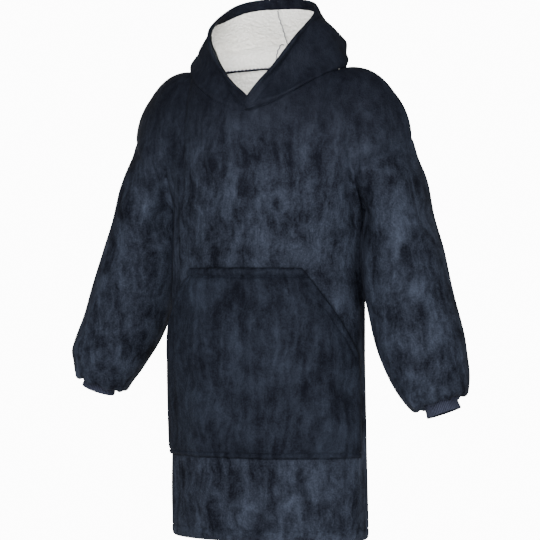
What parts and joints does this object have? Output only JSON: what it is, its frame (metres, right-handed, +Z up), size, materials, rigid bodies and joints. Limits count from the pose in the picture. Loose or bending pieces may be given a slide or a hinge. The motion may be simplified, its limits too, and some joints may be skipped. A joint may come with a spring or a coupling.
{
  "type": "wearable blanket hoodie",
  "caption": "Oversized plush pullover blanket with a sherpa-lined hood, wide sleeves gathered into rib cuffs and a kangaroo pocket, filled out as worn and empty inside.",
  "frame": {"origin": "base of the wearer's neck, level with the two points where the neckline meets the shoulder seams", "axes": "+Z up the body, -Y out of the garment's front, +X towards the garment's own left arm"},
  "size_m": [0.8197, 0.3046, 1.0411],
  "materials": {
    "plush": "crushed plush pile",
    "sherpa": "curly pile",
    "rib": "rib knit"
  },
  "bodies": {
    "root": {"front": "plush", "back": "plush", "sleeve_left": "plush", "sleeve_right": "plush", "cuff_left": "rib", "cuff_right": "rib", "hood_left": "plush", "hood_right": "plush", "hood_lining_left": "sherpa", "hood_lining_right": "sherpa", "back_neck_lining": "sherpa", "pocket": "plush"}
  },
  "joints": []
}
